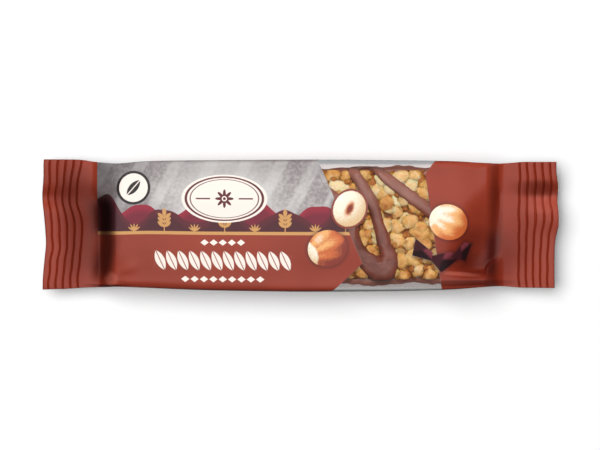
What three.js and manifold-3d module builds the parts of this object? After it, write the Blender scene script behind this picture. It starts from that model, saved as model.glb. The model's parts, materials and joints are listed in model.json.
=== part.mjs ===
// A granola bar sealed in its flow-wrapped film pack, lying on its back.
//
// Units are millimetres. +X runs along the pack, +Y across it and +Z up from the
// surface that it lies on. The origin is the middle of the underside.
//
// The pack is one piece of film closed round the bar: a pleated seal at each end,
// side walls that tuck in on the way to the seals, and a fin seal folded flat
// along the back. Nothing opens, so it is one closed solid out to the film.

import * as THREE from 'three';
import Module from 'manifold-3d';
import { LoftGeometry } from 'three/addons/geometries/LoftGeometry.js';
import { mergeVertices } from 'three/addons/utils/BufferGeometryUtils.js';

// ---------------------------------------------------------------- driving sizes

const bodyHeight = 15.4;
const cornerRadius = 2.2;     // along the pack's long edges

// The outline from above: a place along the pack, how far the film reaches to the +y
// side there, and how far to the -y side.
const outline = [
  [ - 80, 20.35, 20.05 ],
  [ - 71.4, 20.3, 19.75 ],
  [ - 67.7, 20.15, 19.5 ],
  [ - 64, 19.6, 19.3 ],
  [ - 60, 19.2, 19.2 ],
  [ - 56, 19, 19.05 ],
  [ - 46.7, 19.7, 19.4 ],
  [ - 31, 19.95, 20.05 ],
  [ - 15.7, 20.05, 20.35 ],
  [ 0, 20.15, 20.55 ],
  [ 15, 20.1, 20.5 ],
  [ 30, 19.95, 20.35 ],
  [ 46.2, 19.7, 19.9 ],
  [ 55.5, 19.2, 19.2 ],
  [ 62, 19.05, 18.95 ],
  [ 67.9, 19.5, 19.4 ],
  [ 72, 19.55, 19.45 ],
  [ 80, 19.55, 19.55 ],
];

const slopeStart = 55.2;      // from the middle to where the walls begin to close
const slopeEnd = 63.2;        // and to where they have closed to the seals' level
const tuckDepth = 5.6;        // how far each side wall folds in
const deepestTuckAt = 61;     // past it the fold is pressed shut

const sealLevel = 7;          // height of the seals' middle above the surface
const sealThickness = 0.5;
const pleatPitch = 2.25;
const pleatDepth = 0.5;       // crest to valley

const finWidth = 10;          // the fin seal folded flat along the back
const finGroove = { width: 1, depth: 0.4, length: 104 };

// The top face leaves the bar and meets the seal at the two distances of its slope,
// below and above the places in turnsAt. The sheet of a seal isn't flat: each bulge
// pushes the pleats outwards and lifts or drops the sheet, and fades away on both
// sides of its place across it. Its two numbers hold at the first pleat and the cut end.
const endSeals = [
  {
    side: - 1,
    start: 66.9,              // from the middle of the pack to the first pleat
    end: 79,                  // to the cut end, before a bulge pushes it out
    slope: { below: [ 56.8, 62.3 ], above: [ 54.6, 64.4 ], turnsAt: [ 4, 12 ], sharpness: 0.35 },
    bulges: [
      { at: 19, spread: 5, out: [ 0, 0.4 ], lift: [ 0, 0 ] },
      { at: 15, spread: 6, out: [ 0, 0 ], lift: [ 1.3, 0.2 ] },
      { at: 8.5, spread: 5, out: [ 1.3, 1.15 ], lift: [ 0, 0 ] },
      { at: 8.3, spread: 2.8, out: [ 0, 0 ], lift: [ - 0.2, - 1.5 ] },
      { at: - 3, spread: 7, out: [ 0, 0 ], lift: [ - 1.3, 0.1 ] },
      { at: - 19, spread: 7, out: [ 0.9, 0.9 ], lift: [ 0, 0.5 ] },
    ],
  },
  {
    side: 1,
    start: 66.4,
    end: 78.75,
    slope: { below: [ 55.4, 61.4 ], above: [ 57.2, 61.9 ], turnsAt: [ - 8, 8 ], sharpness: 0.7 },
    bulges: [
      { at: 20, spread: 8, out: [ 0.5, 0.7 ], lift: [ 0, 0 ] },
      { at: 9.2, spread: 3.2, out: [ 0, 0 ], lift: [ - 0.4, - 1.7 ] },
      { at: 5.2, spread: 6.4, out: [ 0.1, 1.4 ], lift: [ 0, 0 ] },
      { at: 2.2, spread: 4, out: [ 0, 0 ], lift: [ 0.2, 1 ] },
      { at: - 14, spread: 7, out: [ 0, 0 ], lift: [ - 0.9, 0.4 ] },
    ],
  },
];

const sharpPower = 2.4;       // of the curve that a sharp slope follows

// The top face is a low pillow. In each sag it hangs lower, from a place on towards one
// side over a reach, with limits along the pack and across it.
const pillow = { across: [ 6, 17.5 ], dropAcross: 0.55, along: [ 36, 57 ], dropAlong: 0.45 };
const sags = [
  {
    from: [ 48, 5 ], towards: [ 0.72, - 0.69 ], reach: 16, drop: 6.2,
    along: [ 44, 53 ], across: [ - 16.6, - 13.4 ],
  },
  {
    from: [ 47.5, 0 ], towards: [ 1, 0 ], reach: 11, drop: 0.8,
    along: [ 46, 47.5 ], across: [ - 60, - 50 ],
  },
  {
    from: [ - 55, - 9 ], towards: [ - 0.75, - 0.66 ], reach: 7, drop: 1.6,
    along: [ - 66, - 64 ], across: [ - 19, - 15 ],
  },
];

// How much of the height over the folded walls and over the underside the top face can
// drop by, and the width over which the one changes to the other.
const dropRoom = { overFold: 0.45, overUnderside: 0.85, change: 3 };

// Creases across the necks press both sheets down, most between the two middle numbers
// of across.
const creases = [
  { at: - 61.2, width: 2.3, drop: 1.3, across: [ - 20, - 14, 2, 13 ] },
  { at: 60.1, width: 1.4, drop: 0.6, across: [ - 18, - 10, 8, 22 ] },
];

// ---------------------------------------------------------------- fineness

const plainRows = 4;          // from the middle of the pack to where the sags begin
const plainEnd = 42;
const sagRows = 7;            // from there to the slope
const slopeRows = 10;
const neckRows = 3;           // from the slope to the seal
const rowsPerPleat = 4;
const faceSteps = 13;         // across the top, and across the underside
const cornerSteps = 3;
const wallSteps = 4;          // even, so that one point is the tuck's fold

// ---------------------------------------------------------------- shape

const { clamp, lerp, smoothstep } = THREE.MathUtils;

const reachCurve = new THREE.CubicInterpolant(
  outline.map( ( [ x ] ) => x ), outline.flatMap( ( [ , ...reach ] ) => reach ), 2
);

// What a seal's bulges come to at a place across it, for a share of the way from the
// first pleat to the cut end.
function bulgeSum( seal, key, y, share ) {

  return seal.bulges.reduce( ( sum, bulge ) => {

    const fade = Math.exp( - ( ( ( y - bulge.at ) / bulge.spread ) ** 2 ) );
    return sum + lerp( ...bulge[ key ], share ) * fade;

  }, 0 );

}

// How far the top face hangs below the bar's top.
function sagAt( x, y ) {

  const { across, dropAcross, along, dropAlong } = pillow;
  const rounding = dropAcross * smoothstep( Math.abs( y ), ...across )
    + dropAlong * smoothstep( Math.abs( x ), ...along );
  return sags.reduce( ( sum, { from, towards, reach, drop, ...limits } ) => {

    const way = ( ( x - from[ 0 ] ) * towards[ 0 ] + ( y - from[ 1 ] ) * towards[ 1 ] ) / reach;
    const inside = smoothstep( x, ...limits.along ) * smoothstep( y, ...limits.across );
    return sum + drop * smoothstep( way, 0, 1 ) * inside;

  }, rounding );

}

// How far the top face has come down from the bar to the seal, from 0 to 1.
function comeDownAt( distance, y, { slope } ) {

  const share = smoothstep( y, ...slope.turnsAt );
  const from = lerp( slope.below[ 0 ], slope.above[ 0 ], share );
  const to = lerp( slope.below[ 1 ], slope.above[ 1 ], share );
  const t = clamp( ( distance - from ) / ( to - from ), 0, 1 );
  return lerp( smoothstep( t, 0, 1 ), t ** sharpPower, slope.sharpness );

}

function topLevelAt( x, y, seal ) {

  const sealTop = sealLevel + sealThickness / 2;
  const stillUp = 1 - comeDownAt( Math.abs( x ), y, seal );
  return sealTop + ( bodyHeight - sealTop - sagAt( x, y ) ) * stillUp;

}

function creaseAt( x, y ) {

  return creases.reduce( ( sum, { at, width, drop, across: [ low, full, fullToo, high ] } ) => {

    const inside = smoothstep( y, low, full ) * ( 1 - smoothstep( y, fullToo, high ) );
    return sum - drop * Math.exp( - ( ( ( x - at ) / width ) ** 2 ) ) * inside;

  }, 0 );

}

// The closed outline of the pack's section at one distance from its middle, before the
// seal's bulges and pleats: a rounded rectangle that flattens into the seal, with its
// side walls folded in. It starts at the foot of the right wall and goes up and round.
function sectionAt( distance, seal ) {

  const x = seal.side * distance;
  const [ toPlus, toMinus ] = reachCurve.evaluate( x );
  const halfWidth = ( toPlus + toMinus ) / 2;
  const middle = ( toPlus - toMinus ) / 2;

  const closing = smoothstep( distance, slopeStart, slopeEnd );
  const top = lerp( bodyHeight, sealLevel + sealThickness / 2, closing );
  const under = lerp( 0, sealLevel - sealThickness / 2, closing );
  const radius = lerp( cornerRadius, sealThickness / 2, closing );
  const wallHeight = top - under - 2 * radius;

  const folding = smoothstep( distance, slopeStart, deepestTuckAt );
  const pressedShut = smoothstep( distance, deepestTuckAt, slopeEnd );
  const tuck = tuckDepth * folding * ( 1 - pressedShut );

  // A point of the upper half has its y, its z on a level top and how much of the top
  // face's own drop it takes part in.
  const upperHalf = [];
  for ( let i = 0; i < wallSteps; i ++ ) {

    const share = i / wallSteps;
    const fold = tuck * ( 1 - Math.abs( 2 * share - 1 ) );
    upperHalf.push( [ halfWidth - fold, under + radius + wallHeight * share, 0 ] );

  }

  for ( let i = 0; i < cornerSteps; i ++ ) {

    const share = i / cornerSteps;
    const inwards = radius * ( 1 - Math.cos( share * Math.PI / 2 ) );
    const down = radius * ( 1 - Math.sin( share * Math.PI / 2 ) );
    upperHalf.push( [ halfWidth - inwards, top - down, share ] );

  }

  for ( let i = 0; i < faceSteps; i ++ ) {

    const y = lerp( halfWidth - radius, radius - halfWidth, i / faceSteps );
    upperHalf.push( [ y, top, 1 ] );

  }

  for ( let i = 0; i < cornerSteps; i ++ ) {

    const share = i / cornerSteps;
    const inwards = radius * ( 1 - Math.sin( share * Math.PI / 2 ) );
    const down = radius * ( 1 - Math.cos( share * Math.PI / 2 ) );
    upperHalf.push( [ inwards - halfWidth, top - down, 1 - share ] );

  }

  const dropped = ( [ y, z, share ] ) => {

    const fromSide = halfWidth - Math.abs( y );
    const overFold = radius + wallHeight / 2 * clamp( fromSide / tuckDepth, 0, 1 );
    const room = lerp(
      dropRoom.overFold * overFold,
      dropRoom.overUnderside * ( top - under ),
      smoothstep( fromSide - tuck, 0, dropRoom.change )
    );
    return [ y, z + Math.max( ( topLevelAt( x, y, seal ) - top ) * share, - room ) ];

  };

  const lowerHalf = upperHalf.map( ( [ y, z ] ) => [ - y, top + under - z ] );
  return [ ...upperHalf.map( dropped ), ...lowerHalf ].map( ( [ y, z ] ) => [ y + middle, z ] );

}

function pleatAt( distance, seal ) {

  const turns = ( distance - seal.start ) / pleatPitch;
  return smoothstep( turns, 0, 0.5 ) * Math.cos( turns * Math.PI * 2 ) * pleatDepth / 2;

}

function ringAt( distance, seal ) {

  const share = smoothstep( distance, seal.start, seal.end );
  const outFade = smoothstep( distance, slopeEnd - 1, seal.start );
  const liftFade = smoothstep( distance, slopeStart + 2, seal.start );
  const pleat = pleatAt( distance, seal );

  return sectionAt( distance, seal ).map( ( [ y, z ] ) => new THREE.Vector3(
    seal.side * ( distance + bulgeSum( seal, 'out', y, share ) * outFade ),
    y,
    z + bulgeSum( seal, 'lift', y, share ) * liftFade
      + creaseAt( seal.side * distance, y ) + pleat
  ) );

}

// Distances from the middle of the pack at which it has a ring, out to one cut end.
function ringDistances( seal ) {

  const pleats = ( seal.end - seal.start ) / pleatPitch;
  const stretches = [
    { from: 0, to: plainEnd, rows: plainRows },
    { from: plainEnd, to: slopeStart, rows: sagRows },
    { from: slopeStart, to: slopeEnd, rows: slopeRows },
    { from: slopeEnd, to: seal.start, rows: neckRows },
    { from: seal.start, to: seal.end, rows: Math.ceil( pleats * rowsPerPleat ) },
  ];
  return stretches.flatMap( ( { from, to, rows } ) => Array.from(
    { length: rows }, ( _, i ) => lerp( from, to, ( i + 1 ) / rows )
  ) );

}

// The film closed round the bar, from one cut end to the other.
function packEnvelope() {

  const [ left, right ] = endSeals;
  const rings = [
    ...ringDistances( left ).toReversed().map( ( distance ) => ringAt( distance, left ) ),
    ringAt( 0, right ),
    ...ringDistances( right ).map( ( distance ) => ringAt( distance, right ) ),
  ];
  return new LoftGeometry( rings, { capStart: true, capEnd: true } );

}

// A groove in the underside along one edge of the folded fin.
function finEdgeGroove( side ) {

  const { length, width, depth } = finGroove;
  const groove = new THREE.BoxGeometry( length, width, 2 * depth );
  groove.translate( 0, side * ( finWidth + width ) / 2, 0 );
  return groove;

}

// ---------------------------------------------------------------- solid and mesh

const wasm = await Module();
wasm.setup();

function toSolid( geometry ) {

  const bare = new THREE.BufferGeometry();
  bare.setAttribute( 'position', geometry.attributes.position );
  bare.setIndex( geometry.index );
  const merged = mergeVertices( bare, 1e-4 );
  return new wasm.Manifold( new wasm.Mesh( {
    numProp: 3,
    vertProperties: merged.attributes.position.array,
    triVerts: new Uint32Array( merged.index.array ),
  } ) );

}

function toGeometry( solid ) {

  const { vertProperties, triVerts } = solid.getMesh();
  const geometry = new THREE.BufferGeometry();
  geometry.setAttribute( 'position', new THREE.BufferAttribute( vertProperties, 3 ) );
  geometry.setIndex( new THREE.BufferAttribute( triVerts, 1 ) );
  geometry.computeVertexNormals();
  return geometry;

}

function wrappedBar() {

  const solid = toSolid( packEnvelope() )
    .subtract( toSolid( finEdgeGroove( 1 ) ) )
    .subtract( toSolid( finEdgeGroove( - 1 ) ) );
  const printedFilm = new THREE.MeshStandardMaterial( {
    color: '#9e4c3e', roughness: 0.42, metalness: 0,
  } );
  const mesh = new THREE.Mesh( toGeometry( solid ), printedFilm );
  mesh.name = 'wrapped_bar';
  return mesh;

}

const pack = new THREE.Group();
pack.add( wrappedBar() );

export default pack;
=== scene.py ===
import json
import math
from functools import partialmethod

import bmesh
import bpy
import numpy as np
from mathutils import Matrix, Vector, noise
from mathutils.bvhtree import BVHTree

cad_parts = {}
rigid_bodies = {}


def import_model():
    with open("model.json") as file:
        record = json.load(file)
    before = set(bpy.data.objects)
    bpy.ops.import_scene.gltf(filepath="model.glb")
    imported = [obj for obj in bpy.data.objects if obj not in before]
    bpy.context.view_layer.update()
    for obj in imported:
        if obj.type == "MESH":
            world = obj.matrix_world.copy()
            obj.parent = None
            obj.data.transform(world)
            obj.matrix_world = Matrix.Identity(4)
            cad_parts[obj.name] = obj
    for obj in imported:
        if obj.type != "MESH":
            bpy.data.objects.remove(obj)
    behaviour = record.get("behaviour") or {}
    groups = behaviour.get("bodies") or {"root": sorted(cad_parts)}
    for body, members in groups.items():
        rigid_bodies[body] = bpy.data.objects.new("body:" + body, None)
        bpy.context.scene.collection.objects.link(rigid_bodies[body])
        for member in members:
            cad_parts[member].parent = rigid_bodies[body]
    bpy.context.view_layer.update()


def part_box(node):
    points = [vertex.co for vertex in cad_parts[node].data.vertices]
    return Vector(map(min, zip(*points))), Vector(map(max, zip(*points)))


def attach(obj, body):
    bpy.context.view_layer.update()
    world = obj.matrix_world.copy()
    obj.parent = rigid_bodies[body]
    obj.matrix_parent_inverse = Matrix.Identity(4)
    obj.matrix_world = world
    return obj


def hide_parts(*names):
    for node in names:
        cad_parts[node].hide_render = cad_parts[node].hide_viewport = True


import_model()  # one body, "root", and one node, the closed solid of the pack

packLow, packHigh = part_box("wrapped_bar")
mm = 0.001  # sizes below are in millimetres, meshes are in metres
bodyWidth = (packHigh[1] - packLow[1]) / mm
bodyHeight = (packHigh[2] - packLow[2]) / mm
print("frame loaded, pack", [round((high - low) / mm, 1) for low, high in zip(packLow, packHigh)], "mm")


# Helpers that work on numbers and on arrays of them.

def smooth(x, low, high):
    t = np.clip((x - low) / (high - low), 0, 1)
    return t * t * (3 - 2 * t)


def between(x, low, full, fullToo, high):
    # up from low to full, and down again from fullToo to high
    return smooth(x, low, full) * (1 - smooth(x, fullToo, high))


def blend(a, b, share):
    return a + (b - a) * share


def bell(x, at, spread):
    return np.exp(-((x - at) / spread) ** 2)


def linear(red, green, blue):
    # an sRGB colour out of 255 as the linear one that sockets take
    channels = [c / 255 for c in (red, green, blue)]
    return (*[c / 12.92 if c < 0.04045 else ((c + 0.055) / 1.055) ** 2.4 for c in channels], 1)


def softNoise(points, size, seed):
    # smooth noise from about -1 to 1, one value a point, with features of this size
    offset = Vector((seed * 7.13, seed * 3.71, seed * 5.37))
    return np.array([noise.noise(Vector(p) / size + offset) for p in points])


def smoothPath(points, step):
    # a curve through the points at an even step
    points = np.array(points, float)
    padded = np.vstack([2 * points[0] - points[1], points, 2 * points[-1] - points[-2]])
    fine = []
    for a, b, c, d in zip(padded, padded[1:], padded[2:], padded[3:]):
        for t in np.linspace(0, 1, 12, endpoint=False):
            fine.append(0.5 * (2 * b + (c - a) * t + (2 * a - 5 * b + 4 * c - d) * t ** 2
                               + (3 * b - a - 3 * c + d) * t ** 3))
    fine = np.array(fine + [points[-1]])
    walked = np.concatenate([[0], np.cumsum(np.linalg.norm(np.diff(fine[:, :2], axis=0), axis=1))])
    even = np.arange(0, walked[-1], step)
    return np.stack([np.interp(even, walked, fine[:, k]) for k in range(3)], axis=1)


class Sock:
    # a node's output; sums and products on it add Math nodes
    def __init__(self, maker, socket):
        self.maker = maker
        self.socket = socket

    def math(self, operation, *others):
        return self.maker.add("ShaderNodeMath", {"operation": operation}, (self, *others))

    def __rsub__(self, other):
        return self.maker.add("ShaderNodeMath", {"operation": "SUBTRACT"}, (other, self))

    __add__ = __radd__ = partialmethod(math, "ADD")
    __mul__ = __rmul__ = partialmethod(math, "MULTIPLY")
    __sub__ = partialmethod(math, "SUBTRACT")
    __truediv__ = partialmethod(math, "DIVIDE")
    __pow__ = partialmethod(math, "POWER")
    __abs__ = partialmethod(math, "ABSOLUTE")
    __neg__ = partialmethod(math, "MULTIPLY", -1)
    least = partialmethod(math, "MINIMUM")
    most = partialmethod(math, "MAXIMUM")

    def ramp(self, low, high, atLow=0, atHigh=1):
        # a smooth step from atLow to atHigh
        return self.maker.add("ShaderNodeMapRange", {"interpolation_type": "SMOOTHSTEP"},
                              (self, low, high, atLow, atHigh))

    def colour(self, first, second):
        # from one colour to the other, each a socket, four numbers or the name of an ink
        first, second = [inks[tint] if isinstance(tint, str) else tint for tint in (first, second)]
        return self.maker.add("ShaderNodeMix", {"data_type": "RGBA"},
                              {0: self, 6: first, 7: second}, output=2)

    def noise(self, scale, detail=2, roughness=0.5):
        return self.maker.add("ShaderNodeTexNoise", {},
                              {"Vector": self, "Scale": scale, "Detail": detail, "Roughness": roughness})

    def axis(self, number):
        return self.maker.add("ShaderNodeSeparateXYZ", {}, (self,), number)

    def beside(self, name):
        # another output of the same node
        return Sock(self.maker, self.socket.node.outputs[name])


class NodeMaker:
    def __init__(self, tree):
        self.tree = tree

    def add(self, kind, settings=None, inputs=(), output=0):
        node = self.tree.nodes.new(kind)
        for name, value in (settings or {}).items():
            if name == "stops":
                ramp = node.color_ramp
                while len(ramp.elements) < len(value):
                    ramp.elements.new(1)
                for element, (position, tint) in zip(ramp.elements, value):
                    element.position = position
                    element.color = tint
            else:
                setattr(node, name, value)
        for key, value in inputs.items() if isinstance(inputs, dict) else enumerate(inputs):
            if isinstance(value, Sock):
                self.tree.links.new(value.socket, node.inputs[key])
            else:
                node.inputs[key].default_value = value
        return Sock(self, node.outputs[output]) if len(node.outputs) else None

    def shader(self, inputs):
        return self.add("ShaderNodeBsdfPrincipled", {}, inputs)

    def mixShader(self, share, first, second):
        return self.add("ShaderNodeMixShader", {}, {0: share, 1: first, 2: second})

    def bump(self, height, strength, distance):
        return self.add("ShaderNodeBump", {}, {"Strength": strength, "Distance": distance, "Height": height})


def makeMaterial(name, finish, *details):
    # finish adds the nodes and gives back the shader that the surface ends in
    material = bpy.data.materials.new(name)
    material.use_nodes = True
    maker = NodeMaker(material.node_tree)
    maker.tree.nodes.clear()
    maker.add("ShaderNodeOutputMaterial", {}, {"Surface": finish(maker, *details)})
    return material


def objectPoint(maker):
    return maker.add("ShaderNodeTexCoord", output=3)


def place(name, data):
    thing = bpy.data.objects.new(name, data)
    bpy.context.collection.objects.link(thing)
    return thing


def meshFrom(bm, name):
    mesh = bpy.data.meshes.new(name)
    bm.to_mesh(mesh)
    bm.free()
    return mesh


def gridObject(name, points, sheet=None, capped=False):
    # points[row][column], in millimetres, with each row a closed ring; sheet holds the
    # same grid's places on the flat film, with one more column that closes the ring
    rows, columns = points.shape[:2]
    verts = [tuple(p) for p in points.reshape(-1, 3) * mm]
    here = np.arange(rows * columns).reshape(rows, columns)
    beside = np.roll(here, -1, axis=1)
    faces = np.stack([here[:-1], here[1:], beside[1:], beside[:-1]], axis=2).reshape(-1, 4).tolist()
    if capped:
        for row, turn in ((0, 1), (rows - 1, -1)):
            verts.append(tuple(points[row].mean(axis=0) * mm))
            pairs = zip(here[row].tolist(), beside[row].tolist())
            faces += [(len(verts) - 1, *pair[::turn]) for pair in pairs]
    mesh = bpy.data.meshes.new(name)
    mesh.from_pydata(verts, [], faces)
    mesh.validate()
    if sheet is not None:
        corners = [sheet[:-1, :-1], sheet[1:, :-1], sheet[1:, 1:], sheet[:-1, 1:]]
        layer = mesh.uv_layers.new(name="sheet")
        layer.data.foreach_set("uv", np.stack(corners, axis=2).astype(np.float32).ravel())
    mesh.shade_smooth()
    return place(name, mesh)


def quarterSection(halfWidth, radius, face, middle, fold, wallLength, steps):
    # From the middle of a face, round a corner and down the wall to half height. The
    # wall is folded in by fold. Gives y, z and the length walked.
    faceSteps, cornerSteps, wallSteps = steps
    flat = halfWidth - radius
    share = np.linspace(0, 1, faceSteps, endpoint=False)
    angle = np.linspace(0, math.pi / 2, cornerSteps, endpoint=False)
    wall = np.linspace(0, 1, wallSteps + 1)
    up = np.sign(face - middle)
    y = [flat * share, flat + radius * np.sin(angle), halfWidth - fold * wall]
    z = [face + 0 * share, face - up * radius * (1 - np.cos(angle)),
         blend(face - up * radius, middle, wall)]
    walked = [flat * share, flat + radius * angle, flat + radius * math.pi / 2 + wallLength * wall]
    return [np.concatenate(parts, axis=1) for parts in (y, z, walked)]


def ringRound(halfWidth, radius, top, under, middle, fold, wallLength, topSteps, underSteps):
    # Rings with rounded corners, one a row, each from the middle of the underside by -y,
    # the top and +y back to where it began. Gives y, z and the length walked from the top.
    topY, topZ, topWalk = quarterSection(halfWidth, radius, top, middle, fold, wallLength, topSteps)
    underY, underZ, underWalk = quarterSection(halfWidth, radius, under, middle, fold, wallLength, underSteps)

    def wholeRing(upper, lower, mirror):
        return np.concatenate([mirror * lower[:, :-1], mirror * upper[:, ::-1], upper[:, 1:],
                               lower[:, ::-1][:, 1:]], axis=1)

    return (wholeRing(topY, underY, -1), wholeRing(topZ, underZ, 1),
            wholeRing(topWalk, 2 * topWalk[:, -1:] - underWalk, -1))


def withX(x, y, z):
    # the rings' points, without the last column, which repeats the first
    return np.stack([np.broadcast_to(x, y.shape), y, z], axis=2)[:, :-1]


film = {
    "cornerRadius": 2.2,  # along the pack's long edges
    "slopeStart": 55.2,  # from the middle to where the film leaves the bar's top
    "slopeEnd": 63.2,  # and to where it is down at the seals' level
    "sharpCurve": 2.4,  # the power of a sharp slope
    # the pack's outline: distance along it, how far it reaches to the +y side and to the -y side
    "outline": (
        (-80, 20.35, 20.05), (-71.4, 20.3, 19.75), (-67.7, 20.15, 19.5), (-64, 19.6, 19.3),
        (-60, 19.2, 19.2), (-56, 19.0, 19.05), (-46.7, 19.7, 19.4), (-31, 19.95, 20.05),
        (-15.7, 20.05, 20.35), (0, 20.15, 20.55), (15, 20.1, 20.5), (30, 19.95, 20.35),
        (46.2, 19.7, 19.9), (55.5, 19.2, 19.2), (62, 19.05, 18.95), (67.9, 19.5, 19.4),
        (72, 19.55, 19.45), (80, 19.55, 19.55)),
    "sealLevel": 7, "sealGap": 0.3, "weldGap": 0.11, "weldLength": 0.3,
    "pleats": 6, "pleatPitch": 2.25, "pleatDepth": 0.8, "valleyReach": 0.36, "valleyCurve": 1.5,
    "ripple": 0.05,  # share of a pleat's depth outside its valley
    "liftFrom": 57.2, "outFrom": 62.2,  # from the middle to where the ends' bulges begin
    "tuckBy": 0.2,  # share of the slope by which the wall folds in
    "sink": (0.45, 0.85),  # how deep dents may be: shares of the room over a tuck and inside
    "steps": (26, 8, 4),  # columns on half a face, round a corner and down half a wall
    "rows": {"body": 86, "slope": 24, "neck": 9, "weld": 3},
    # a pleat's rows, closer together in its valley
    "pleatRows": (0, 0.17, 0.29, 0.34, 0.385, 0.43, 0.47, 0.5, 0.53, 0.57, 0.615, 0.66, 0.71, 0.83),
    "wall": 0.05,
    "foot": 0.06,  # lowest film above the surface
    "overFin": (5.2, 7.5), "finRoom": 0.3,  # it clears the fin seal folded under it
}
# Bulges push the pleats outwards, or lift or drop the sheet: place across, spread, and
# how far at the first pleat and at the cut end. A slope's top face leaves the bar and
# meets the seal at other distances below and above the places in turnsAt.
ends = [
    {"start": 66.9, "end": 79.0,
     "slope": {"below": (56.8, 62.3), "above": (54.6, 64.4), "turnsAt": (4, 12), "sharpness": 0.35},
     "out": ((19, 5, 0, 0.6), (8.6, 5.8, 1.3, 1.1), (1.5, 2.6, -0.4, 0.1), (-6, 3.4, -0.3, -0.2),
             (-10, 3.4, 0.35, 0), (-19, 8.5, 0.9, 0.9)),
     "lift": ((15, 6, 1.3, 0.2), (-10, 3.4, 0.2, 0.1), (8.3, 2.8, -0.2, -1.5), (-3, 7, -1.3, 0.1),
              (-19, 8.5, 0, 0.5))},
    {"start": 66.4, "end": 78.75,
     "slope": {"below": (56.2, 61.5), "above": (57.0, 61.6), "turnsAt": (-8, 8), "sharpness": 0.7},
     "out": ((20, 8, 0.5, 0.45), (5.4, 7.4, 0.1, 1.2), (12.4, 2.8, 0, 0.42), (6.6, 2.2, 0, -0.3),
             (-0.4, 2.8, 0, 0.45), (-12, 8, 0, -0.15)),
     "lift": ((9.2, 3.2, -0.4, -1.7), (2.2, 4, 0.2, 1.0), (-14, 7, -0.9, 0.4))},
]
# The top face is a low pillow, slack in gentle waves. In the sags it drops further towards
# one side: from a place, over a reach, within limits along and across. Folds are ridges.
pillow = {"across": (6, 17.5), "dropAcross": 0.55, "along": (36, 57), "dropAlong": 0.45}
slack = {"size": (17, 11), "seed": 4, "depth": 0.16, "below": 0.6}
waver = {"size": (12, 5.2), "seed": 12, "depth": 0.5}  # the pleats run in and out by this
sags = [
    {"from": (48, 5), "towards": (0.72, -0.69), "reach": 16, "drop": 5.8,
     "along": (44, 54), "across": (-16.6, -13.4)},
    {"from": (47.5, 0), "towards": (1, 0), "reach": 11, "drop": 0.8,
     "along": (46, 47.5), "across": (-60, -50)},
    {"from": (-55, -9), "towards": (-0.75, -0.66), "reach": 7, "drop": 0.7,
     "along": (-66, -64), "across": (-19, -15)},
]
folds = [
    {"from": (-62, -17.5), "to": (-50, -12.0), "width": 1.5, "rise": 0.35},
    {"from": (-63, -16.2), "to": (-53, -18.6), "width": 1.0, "rise": -0.35},
]
foldFade = (-0.15, 0.3, 0.7, 1.15)  # shares of a fold's length
# Creases across the necks, in both sheets, at one place below and another above the
# middle. They're deepest between the two middle numbers of across.
creases = [
    {"at": (-61.2, -61.2), "width": 2.3, "drop": 1.3, "across": (-20, -14, 2, 13)},
    {"at": (59.9, 60.3), "width": 1.3, "drop": 0.6, "across": (-18, -10, 8, 22)},
]
creaseTurn = (-12, 2)  # from the one place to the other across this
outline = smoothPath(film["outline"], 0.4)


def reachAt(x, y):
    # how far the pack reaches across at x, on the side that y is on
    toFar, toNear = [np.interp(x, outline[:, 0], outline[:, k]) for k in (1, 2)]
    return np.where(y > 0, toFar, toNear)


def atEnds(isRight, left, right):
    return np.where(isRight, right, left)


def bulgesAt(key, isRight, y, share):
    left, right = [sum(blend(first, last, share) * bell(y, at, spread)
                       for at, spread, first, last in end[key]) for end in ends]
    return atEnds(isRight, left, right)


def sagAt(x, y):
    # how far the top face hangs below the bar's top
    total = pillow["dropAcross"] * smooth(abs(y), *pillow["across"])
    total = total + pillow["dropAlong"] * smooth(abs(x), *pillow["along"])
    for sag in sags:
        (x0, y0), (dx, dy) = sag["from"], sag["towards"]
        way = ((x - x0) * dx + (y - y0) * dy) / sag["reach"]
        total = total + sag["drop"] * smooth(way, 0, 1) * smooth(x, *sag["along"]) * smooth(y, *sag["across"])
    return total


def foldsAt(x, y):
    total = 0
    for fold in folds:
        (x0, y0), (x1, y1) = fold["from"], fold["to"]
        length = math.hypot(x1 - x0, y1 - y0)
        along = ((x - x0) * (x1 - x0) + (y - y0) * (y1 - y0)) / length ** 2
        off = ((x - x0) * (y1 - y0) - (y - y0) * (x1 - x0)) / length
        total = total + fold["rise"] * bell(off, 0, fold["width"]) * between(along, *foldFade)
    return total


def creasesAt(x, y):
    total = 0
    for crease in creases:
        at = blend(*crease["at"], smooth(y, *creaseTurn))
        total = total - crease["drop"] * bell(x, at, crease["width"]) * between(y, *crease["across"])
    return total


def wavesAt(waves, x, y):
    places = np.stack([np.broadcast_to(x / waves["size"][0], y.shape), y / waves["size"][1], 0 * y], axis=-1)
    return waves["depth"] * softNoise(places.reshape(-1, 3), 1, waves["seed"]).reshape(y.shape)


def topClosing(end, d, y):
    # how far the top face has come down to the seal
    slope = end["slope"]
    share = smooth(y, *slope["turnsAt"])
    start, stop = (blend(low, high, share) for low, high in zip(slope["below"], slope["above"]))
    t = np.clip((d - start) / (stop - start), 0, 1)
    return blend(t * t * (3 - 2 * t), t ** film["sharpCurve"], slope["sharpness"])


def comeDownAt(x, y):
    return atEnds(x > 0, *[topClosing(end, abs(x), y) for end in ends])


def filmRows():
    count = film["rows"]
    body = np.linspace(-film["slopeStart"], film["slopeStart"], count["body"])

    def outward(end):
        slope = np.linspace(film["slopeStart"], film["slopeEnd"], count["slope"])[1:]
        neck = np.linspace(film["slopeEnd"], end["start"], count["neck"])[1:]
        seal = [end["start"] + (k + share) * film["pleatPitch"]
                for k in range(film["pleats"]) for share in film["pleatRows"]]
        inside = [x for x in seal[1:] if x < end["end"] - film["weldLength"]]
        weld = np.linspace(end["end"] - film["weldLength"], end["end"], count["weld"])
        return np.concatenate([slope, neck, inside, weld])

    return np.concatenate([-outward(ends[0])[::-1], body, outward(ends[1])])


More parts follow.
